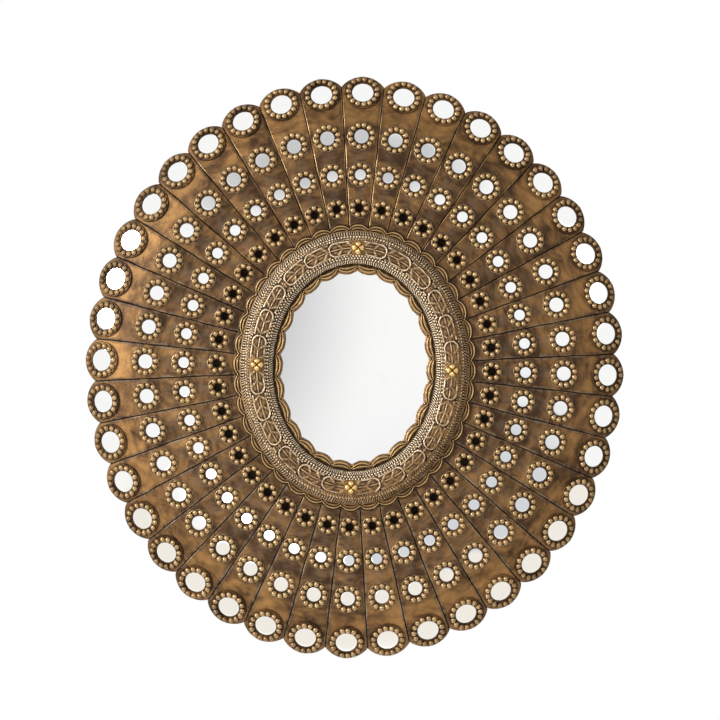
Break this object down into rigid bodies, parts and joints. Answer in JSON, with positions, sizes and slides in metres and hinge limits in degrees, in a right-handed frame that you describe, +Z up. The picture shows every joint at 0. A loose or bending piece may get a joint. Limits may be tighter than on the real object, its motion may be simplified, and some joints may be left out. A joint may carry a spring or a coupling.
{
  "type": "sunburst wall mirror",
  "caption": "Oval wall mirror in a carved moulding, framed by a domed sunburst of cast antique-gold rays with beaded rosettes and small round mirrors, hung on D-rings.",
  "frame": {"origin": "centre of the backboard's rear face", "axes": "+Z up the wall, +Y towards the wall, so the mirror faces -Y, and +X to the viewer's right"},
  "size_m": [0.8622, 0.0936, 0.9322],
  "materials": {
    "antique_gold_ray": "cast resin, antique gold lacquer rubbed back over dark brown wax",
    "antique_gold_moulding": "cast resin, antique gold lacquer with grey-brown wax in the relief",
    "bright_gold_stud": "cast resin, bright gold lacquer",
    "small_mirror": "silvered craft mirror",
    "silvered_glass": "silvered float glass",
    "hardboard": "smooth hardboard",
    "pine_hoop": "sawn softwood",
    "fibreboard": "medium density fibreboard",
    "zinc_steel": "zinc plated",
    "black_steel": "black phosphated",
    "bumper_rubber": "matt black"
  },
  "bodies": {
    "frame": {"ray_01": "antique_gold_ray", "ray_02": "antique_gold_ray", "ray_03": "antique_gold_ray", "ray_04": "antique_gold_ray", "ray_05": "antique_gold_ray", "ray_06": "antique_gold_ray", "ray_07": "antique_gold_ray", "ray_08": "antique_gold_ray", "ray_09": "antique_gold_ray", "ray_10": "antique_gold_ray", "ray_11": "antique_gold_ray", "ray_12": "antique_gold_ray", "ray_13": "antique_gold_ray", "ray_14": "antique_gold_ray", "ray_15": "antique_gold_ray", "ray_16": "antique_gold_ray", "ray_17": "antique_gold_ray", "ray_18": "antique_gold_ray", "ray_19": "antique_gold_ray", "ray_20": "antique_gold_ray", "ray_21": "antique_gold_ray", "ray_22": "antique_gold_ray", "ray_23": "antique_gold_ray", "ray_24": "antique_gold_ray", "ray_25": "antique_gold_ray", "ray_26": "antique_gold_ray", "ray_27": "antique_gold_ray", "ray_28": "antique_gold_ray", "ray_29": "antique_gold_ray", "ray_30": "antique_gold_ray", "ray_31": "antique_gold_ray", "ray_32": "antique_gold_ray", "ray_33": "antique_gold_ray", "ray_34": "antique_gold_ray", "ray_35": "antique_gold_ray", "ray_36": "antique_gold_ray", "ray_37": "antique_gold_ray", "ray_38": "antique_gold_ray", "ray_39": "antique_gold_ray", "ray_40": "antique_gold_ray", "outer_mirrors": "small_mirror", "upper_mirrors": "small_mirror", "lower_mirrors": "small_mirror", "oval_moulding": "antique_gold_moulding", "moulding_studs": "bright_gold_stud", "centre_mirror": "silvered_glass", "mirror_backing": "hardboard", "mirror_clips": "zinc_steel", "clip_screws": "zinc_steel", "riser_hoop": "pine_hoop", "backboard": "fibreboard", "board_screws": "black_steel", "wall_bumpers": "bumper_rubber", "hanger_straps": "zinc_steel", "strap_screws": "zinc_steel"},
    "left_ring": {"d_ring_left": "zinc_steel"},
    "right_ring": {"d_ring_right": "zinc_steel"}
  },
  "joints": [
    {"name": "left_ring_flip", "type": "hinge", "parent": "frame", "child": "left_ring", "pos_m": [-0.22, 0.003, 0.23], "axis": [1, 0, 0], "range_deg": [0, 180]},
    {"name": "right_ring_flip", "type": "hinge", "parent": "frame", "child": "right_ring", "pos_m": [0.22, 0.003, 0.23], "axis": [1, 0, 0], "range_deg": [0, 180]}
  ]
}
